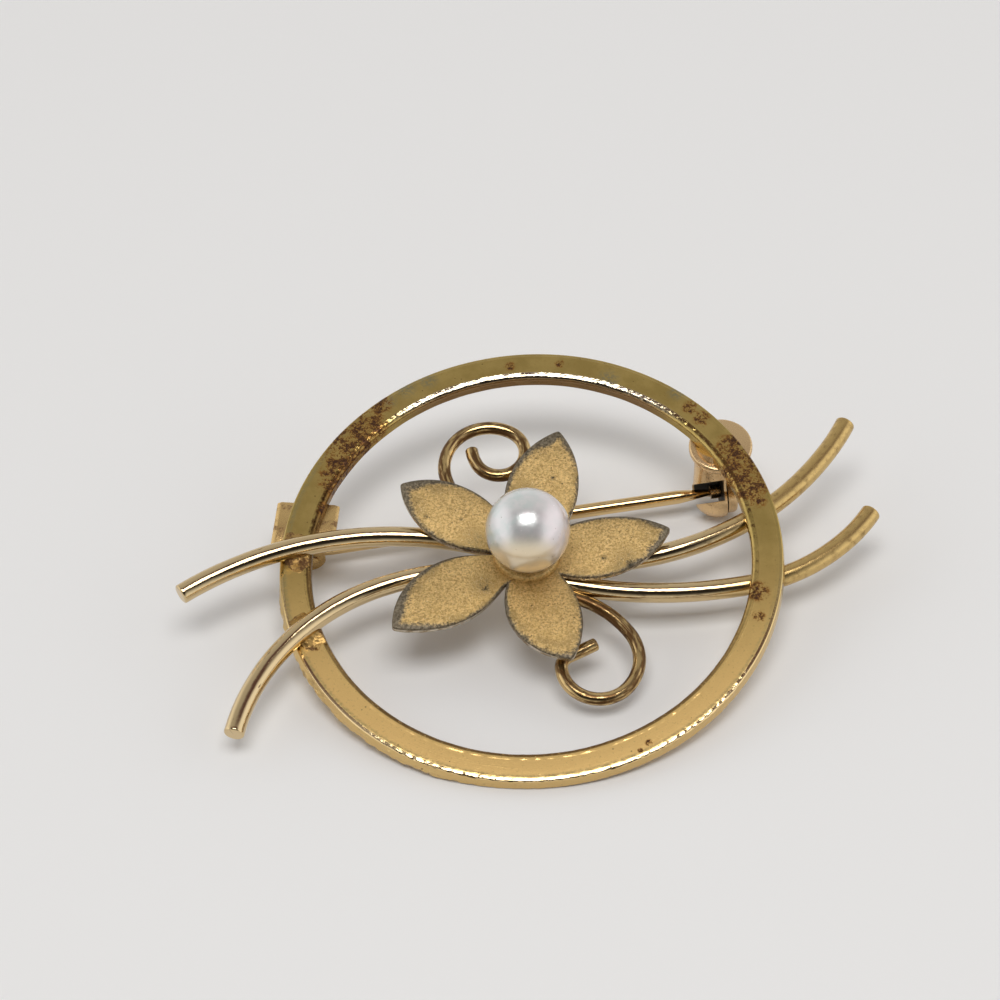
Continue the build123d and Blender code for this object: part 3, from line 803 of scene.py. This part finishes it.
def roundedBlock(shape, centre, across, along, upward, size, bevel, segments):
    work = bmesh.new()
    bmesh.ops.create_cube(work, size=1.0)
    bmesh.ops.scale(work, vec=size, verts=work.verts)
    bmesh.ops.bevel(work, geom=work.edges[:], offset=bevel, segments=segments, profile=0.6, affect="EDGES")
    turn = Matrix((across, along, upward)).transposed().to_4x4()
    bmesh.ops.transform(work, matrix=Matrix.Translation(centre) @ turn, verts=work.verts)
    mesh = bpy.data.meshes.new("block")
    work.to_mesh(mesh)
    work.free()
    shape.addMesh(mesh)


def makeHinge():
    shape = Shape()
    deep, soft, radius = hingeLooks["thickness"], hingeLooks["soft"], hingeLooks["earRadius"]
    foot = Vector((rivetMiddle.x, rivetMiddle.y, -brooch["ringThickness"]))
    turn = radians(hingeLooks["turn"])
    across, along = Vector((cos(turn), sin(turn), 0)), Vector((-sin(turn), cos(turn), 0))
    # the plate's two ends slope off on the front side, and all its edges are a little rounded
    half, wide, slope = hingeLooks["length"] / 2, hingeLooks["width"] / 2, hingeLooks["endSlope"]
    right = [(half - soft, -deep), (half, -deep + soft), (half, -0.15), (half - 0.03, -0.12),
             (half - slope, -0.012), (half - slope - 0.05, 0.0)]
    outline = [(-half + soft, -deep)] + right + [(-x, z) for x, z in reversed(right[1:])]
    middle = foot + Vector((0, hingeLooks["shift"], 0))
    cuts = [(-wide, soft), (-wide + 0.015, 0.02), (-wide + soft, 0.0)]
    shape.addLoops([[middle + across * (x - inset * (1 if x > 0 else -1)) + along * place
                     + Vector((0, 0, z - inset * (1 if z > -deep / 2 else -1))) for x, z in outline]
                    for place, inset in cuts + [(-place, inset) for place, inset in reversed(cuts)]])
    # two ears: round below, straight up to the plate, with a hole for the rivet
    reach = foot.z - deep - rivetMiddle.z + 0.03
    hole, start = hingeLooks["hole"], hingeLooks["earInside"]
    far = start + hingeLooks["earThickness"]
    corner = degrees(atan2(reach, radius))
    for side in (-1, 1):
        loops = []
        for a in sorted(set(spread(0, 357, 119)) | {corner, 180 - corner}):
            c, s = cos(radians(a)), sin(radians(a))
            edge = radius if s <= 0 else min(radius / max(abs(c), 1e-6), reach / max(s, 1e-6))
            section = [(edge - soft, far), (edge, far - soft), (edge, start + soft), (edge - soft, start),
                       (hole + soft * 0.5, start), (hole, start + soft * 0.5), (hole, far - soft * 0.5),
                       (hole + soft * 0.5, far)]
            way = pinWay * c + pinUp * s
            loops.append([rivetMiddle + way * r + rivetWay * side * t for r, t in section])
        shape.addLoops(loops, closed=True)
    return shape.build("hingePlate", plateGold, crease=30)


def makeRivet():
    outside = hingeLooks["earInside"] + hingeLooks["earThickness"] + 0.01
    head, high, soft = hingeLooks["headRadius"], hingeLooks["headHeight"], hingeLooks["headSoft"]
    half = [(outside, hingeLooks["rivetRadius"]), (outside, head - soft), (outside + soft, head)]
    half += [(outside + soft + (high - soft) * sin(radians(a)), head * cos(radians(a)) ** 0.7 + 0.004)
             for a in (15, 30, 45, 60, 75, 89)]
    shape = Shape()
    shape.addTurned(rivetMiddle, rivetWay, [(-along, radius) for along, radius in reversed(half)] + half, 64)
    return shape.build("hingeRivet", plateGold, crease=35)


# Pin: an eye on the rivet, a wire that is thinner next to it, and a long point
pinLooks = {"radius": 0.42, "neckRadius": 0.36, "neckLength": 1.4, "pointLength": 2.4, "pointRadius": 0.12,
            "length": 25.203, "eyeRadius": 0.8, "eyeThickness": 0.8, "eyeHole": 0.4, "sides": 48,
            "unevenness": 0.006}


def makePin():
    shape = Shape()
    radius, length, neck = pinLooks["radius"], pinLooks["length"], pinLooks["neckLength"]
    hole, thin = pinLooks["eyeHole"], pinLooks["neckRadius"]
    profile = [(0.5, 0.02)]
    profile += [(along, thin + (radius - thin) * (along - hole) / (neck - hole))
                for along in (0.5, 0.8, 1.1, neck)]
    profile += [(along, radius) for along in spread(1.6, length - pinLooks["pointLength"] - 0.2, 60)]
    taper = radius - pinLooks["pointRadius"]
    profile += [(length - pinLooks["pointLength"] * (1 - share), radius - taper * share ** 1.15)
                for share in spread(0.0, 1.0, 12)]
    profile += [(length, pinLooks["pointRadius"] * 0.8), (length + 0.01, 0.01)]
    across = pinWay.orthogonal().normalized()
    other = pinWay.cross(across)
    angles = [2 * pi * k / pinLooks["sides"] for k in range(pinLooks["sides"])]
    loops, runs = [], []
    for along, r in profile:
        uneven = [1 + pinLooks["unevenness"] * ripple(along * 0.7, cos(a), sin(a), 1.0) for a in angles]
        loops.append([rivetMiddle + pinWay * along + (across * cos(a) + other * sin(a)) * r * u
                      for a, u in zip(angles, uneven)])
        runs.append([(along, cos(a) * radius, sin(a) * radius) for a in angles])
    shape.addLoops(loops, runs=runs)
    # the flat eye, a closed ring with its edges broken on both faces
    far, outer, soft, mouth = pinLooks["eyeThickness"] / 2, pinLooks["eyeRadius"], 0.06, 0.02
    profile = [(far, outer - soft), (far - soft, outer), (-far + soft, outer), (-far, outer - soft),
               (-far, hole + mouth), (-far + mouth, hole), (far - mouth, hole), (far, hole + mouth)]
    shape.addTurned(rivetMiddle, rivetWay, profile, 72, closed=True)
    return shape.build("pinStem", pinGold, body="pin", crease=35)


# Catch: disc, leaning neck and slotted ball, joined and cut with booleans
catchLooks = {"footX": 11.2755, "footY": 8.5738, "discRadius": 1.93, "discThickness": 0.4, "discBevel": 0.15,
              "ballRadius": 1.6, "neckRadius": 1.4, "neckShift": 0.13, "channelWidth": 1.24, "channelReach": 2.3,
              "windowTurn": 33, "wallStart": 0.175, "wallEnd": 0.325, "shaftHole": 0.3, "cutReach": 2.38,
              "weld": 0.004}


def solidFrom(name, loops=None, lathed=None):
    # a loose solid to cut with: loops one after another, or a lathe profile with its centre, axis and steps
    shape = Shape()
    if loops:
        shape.addLoops(loops)
    else:
        shape.addTurned(*lathed)
    solid = bpy.data.objects.new(name, meshFrom(name, shape.points, shape.faces))
    scene.collection.objects.link(solid)
    return solid


def prism(name, outline, start, end):
    # an outline across the pin's line, stretched along it
    return solidFrom(name, [[ballMiddle + rivetWay * x + pinUp * y + pinWay * z for x, y in outline]
                            for z in (start, end)])


def joinSolids(base, steps):
    for operation, other in steps:
        change = base.modifiers.new("cut", "BOOLEAN")
        change.operation = operation
        change.solver = "EXACT"
        change.object = other
    bpy.context.view_layer.update()
    result = bpy.data.meshes.new_from_object(base.evaluated_get(bpy.context.evaluated_depsgraph_get()))
    for solid in [base] + [other for operation, other in steps]:
        bpy.data.objects.remove(solid, do_unlink=True)
    return result


def slotOutline(angle):
    # a round end at the pin line and straight sides out to the reach
    half, reach = catchLooks["channelWidth"] / 2, catchLooks["channelReach"]
    c, s = cos(radians(angle)), sin(radians(angle))
    return arcPoints((0, 0), half, angle + 90, angle + 270, 16) + [(c * reach + s * half, s * reach - c * half),
                                                                   (c * reach - s * half, s * reach + c * half)]


def makeCatch():
    foot = Vector((catchLooks["footX"], catchLooks["footY"], -brooch["ringThickness"]))
    down, lean = Vector((0, 0, -1)), ballMiddle - foot
    bevel, disc, deep = catchLooks["discBevel"], catchLooks["discRadius"], catchLooks["discThickness"]
    neck, ball, wall = catchLooks["neckRadius"], catchLooks["ballRadius"], catchLooks["wallEnd"]
    discProfile = [(0, 0.02), (0, disc - bevel), (0.02, disc - bevel * 0.6), (0.07, disc - bevel * 0.2),
                   (bevel, disc), (deep - 0.05, disc), (deep - 0.01, disc - 0.02), (deep, disc - 0.05),
                   (deep, 0.02)]
    ballProfile = [(-x, y) for x, y in arcPoints((0, 0), ball, 0.6, 179.4, 60)]
    neckFoot = foot - pinWay * catchLooks["neckShift"] + down * 0.1
    neckProfile = [(0, neck), (lean.length - 0.1, neck)]
    # the end cut makes room for the lock's disc; one slot lets the pin in, the other shows its point
    steps = [("UNION", solidFrom("neck", lathed=(neckFoot, lean, neckProfile, 72))),
             ("UNION", solidFrom("ball", lathed=(ballMiddle, rivetWay, ballProfile))),
             ("DIFFERENCE", prism("end", arcPoints((0, 0), catchLooks["cutReach"], 0, 352.5, 47), wall, 2.2))]
    steps += [("DIFFERENCE", prism("slot", slotOutline(angle), -1.7, catchLooks["wallStart"]))
              for angle in (-90, 90 + catchLooks["windowTurn"])]
    steps += [("DIFFERENCE", prism("hole", arcPoints((0, 0), catchLooks["shaftHole"], 0, 345, 23), 0.1, 0.5))]
    result = joinSolids(solidFrom("disc", lathed=(foot, down, discProfile)), steps)
    work = bmesh.new()
    work.from_mesh(result)
    bmesh.ops.remove_doubles(work, verts=work.verts, dist=catchLooks["weld"])
    bmesh.ops.dissolve_degenerate(work, edges=work.edges, dist=catchLooks["weld"])
    work.to_mesh(result)
    work.free()
    shape = Shape()
    shape.addMesh(result)
    return shape.build("catchBody", catchGold, crease=32)


# Turning lock: a disc with a thumb tab, a shaft and an open sleeve round the pin's point
lockLooks = {"start": 0.405, "radius": 1.4, "thickness": 0.63, "soft": 0.25, "tabReach": 2.3, "tabWidth": 0.7,
             "shaft": 0.25, "sleeveRadius": 0.42, "sleeveBore": 0.27, "sleeveStart": -0.485, "sleeveStop": 0.115,
             "sleeveEnd": 0.12, "lap": 0.02, "tabRoot": 0.5, "tabInset": 0.03, "tabSoft": 0.1}


def makeLock():
    start, far = lockLooks["start"], lockLooks["start"] + lockLooks["thickness"]
    radius, soft, reach = lockLooks["radius"], lockLooks["soft"], lockLooks["tabReach"]
    shaft, sleeve, bore = lockLooks["shaft"], lockLooks["sleeveRadius"], lockLooks["sleeveBore"]
    stop, lap = lockLooks["sleeveStop"], lockLooks["lap"]
    shape = Shape()
    profile = [(start, 0.01), (start, radius - 0.03), (start + 0.03, radius), (far - soft, radius)]
    profile += [(far - soft + soft * sin(radians(a)), radius - soft * (1 - cos(radians(a))))
                for a in (25, 50, 75, 90)]
    profile += [(far, radius - soft - 0.2), (far, 0.01)]
    shape.addTurned(ballMiddle, pinWay, profile, 72)
    root, inset = lockLooks["tabRoot"], lockLooks["tabInset"]
    tabMiddle = ballMiddle + rivetWay * ((reach + root) / 2) + pinWay * (start + 0.29)
    tabSize = (reach - root, lockLooks["tabWidth"], lockLooks["thickness"] - 2 * inset)
    roundedBlock(shape, tabMiddle, rivetWay, pinUp, pinWay, tabSize, lockLooks["tabSoft"], 4)
    shape.addTurned(ballMiddle, pinWay, [(stop - lap, shaft), (start + lap, shaft)], 48)
    shape.addTurned(ballMiddle, pinWay, [(stop - lockLooks["sleeveEnd"], sleeve), (stop, sleeve)], 48)
    # the sleeve is open towards the back, so the pin can swing out
    opening = degrees(asin(bore / sleeve))
    section = [(sleeve, lockLooks["sleeveStart"]), (sleeve, stop - lap), (bore, stop - lap),
               (bore, lockLooks["sleeveStart"])]
    loops = []
    for a in spread(-90 + opening, 270 - opening, 40):
        way = rivetWay * cos(radians(a)) + pinUp * sin(radians(a))
        loops.append([ballMiddle + way * r + pinWay * z for r, z in section])
    shape.addLoops(loops)
    return shape.build("catchLock", lockGold, body="lock", crease=32)


ring = makeRing()
print("brooch: ring turned")
stems = [makeWire(name, stemGold, **stemWire) for name in ("stemUpper", "stemLower")]
tendrils = [makeWire(name, tendrilGold, **tendrilWire) for name in ("tendrilUpper", "tendrilLower")]
solders = [makeSolder("solderUpperLeft", "stemUpper", True), makeSolder("solderLowerLeft", "stemLower", True),
           makeSolder("solderUpperRight", "stemUpper", False), makeSolder("solderLowerRight", "stemLower", False)]
print("brooch: stems and tendrils bent and soldered")
flowerSheet = makeFlower()
pearlBead = makePearl()
print("brooch: flower stamped and pearl set")
hingePlate = makeHinge()
hingeRivet = makeRivet()
pinStem = makePin()
catchBody = makeCatch()
catchLock = makeLock()
print("brooch: hinge, pin and catch made")

for piece in [ring, hingePlate, catchBody] + stems + tendrils + solders:
    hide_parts("frame")
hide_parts("flower")
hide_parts("pearl")
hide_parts("hinge_rivet")
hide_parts("pin_stem")
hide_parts("catch_lock")

# Floor, light and camera, in metres
stageLooks = {"floorSize": 3.0, "floorColour": (0.87, 0.87, 0.865), "lightSize": (0.37, 0.24), "lightReach": 0.55,
              "lightElevation": 77.0, "lightSide": 0.03, "lightPower": 1.40, "lightColour": (1.0, 0.99, 0.98)}
floorMesh = bpy.data.meshes.new("floor")
far = stageLooks["floorSize"] / 2
floorMesh.from_pydata([(-far, -far, 0), (far, -far, 0), (far, far, 0), (-far, far, 0)], [], [(0, 1, 2, 3)])
floorLook = Finish("pale floor")
floorMesh.materials.append(floorLook.done(Base_Color=stageLooks["floorColour"], Roughness=0.9))
floor = bpy.data.objects.new("floor", floorMesh)
scene.collection.objects.link(floor)

lamp = bpy.data.lights.new("softbox", "AREA")
lamp.shape = "RECTANGLE"
lamp.size, lamp.size_y = stageLooks["lightSize"]
lamp.energy = stageLooks["lightPower"]
lamp.color = stageLooks["lightColour"]
lampObject = bpy.data.objects.new("softbox", lamp)
tilt = radians(stageLooks["lightElevation"])
lampObject.location = Vector((stageLooks["lightSide"], -cos(tilt), sin(tilt))) * stageLooks["lightReach"]
lampObject.rotation_euler = (-lampObject.location).to_track_quat("-Z", "Y").to_euler()
scene.collection.objects.link(lampObject)

# Room: white round the horizon, a dark band in front where the viewer stands, dim above and behind.
# The band's stops turn in the upright plane: 0 front horizon, 0.5 overhead, 1 back horizon.
roomLooks = {"sideFrom": 0.48, "sideTo": 0.88, "side": (1.1, 1.1, 1.1),
             "stops": [(0.0, (0.70, 0.70, 0.69)), (0.06, (0.42, 0.42, 0.41)), (0.12, (0.16, 0.15, 0.15)),
                       (0.17, (0.03, 0.03, 0.03)), (0.35, (0.02, 0.015, 0.015)), (0.39, (0.25, 0.24, 0.24)),
                       (0.50, (0.30, 0.28, 0.28)), (0.53, (0.10, 0.05, 0.055)), (0.57, (0.13, 0.085, 0.09)),
                       (0.60, (0.46, 0.45, 0.43)), (0.72, (0.55, 0.54, 0.52)), (0.86, (0.62, 0.61, 0.60)),
                       (1.0, (0.80, 0.80, 0.79))]}
world = bpy.data.worlds.new("room")
scene.world = world
world.use_nodes = True
room = Nodes(world.node_tree)
way = room.add("ShaderNodeTexCoord").outputs["Generated"]
across, depth, height = (room.part(way, axis) for axis in range(3))
turn = height.maths("ARCTAN2", height, depth * -1.0)
turn = turn.maths("DIVIDE", turn, pi)
band = room.add("ShaderNodeValToRGB", {"stops": roomLooks["stops"]}, {0: turn}).outputs[0]
sideways = room.rise(across.maths("ABSOLUTE", across), roomLooks["sideFrom"], roomLooks["sideTo"])
background = world.node_tree.nodes["Background"]
room.feed(background.inputs["Color"], room.blend(sideways, band, roomLooks["side"]))

view = {"place": (0.008323, -0.122916, 0.131881), "turn": (44.957, 2.110, 2.509), "lens": 108.0, "sensor": 36.0}
camera = bpy.data.cameras.new("camera")
camera.lens = view["lens"]
camera.sensor_width = view["sensor"]
camera.clip_start = 0.01
cameraObject = bpy.data.objects.new("camera", camera)
cameraObject.location = view["place"]
cameraObject.rotation_euler = Euler([radians(a) for a in view["turn"]])
scene.collection.objects.link(cameraObject)
scene.camera = cameraObject
scene.view_settings.view_transform = "Standard"
print("brooch: stage lit")
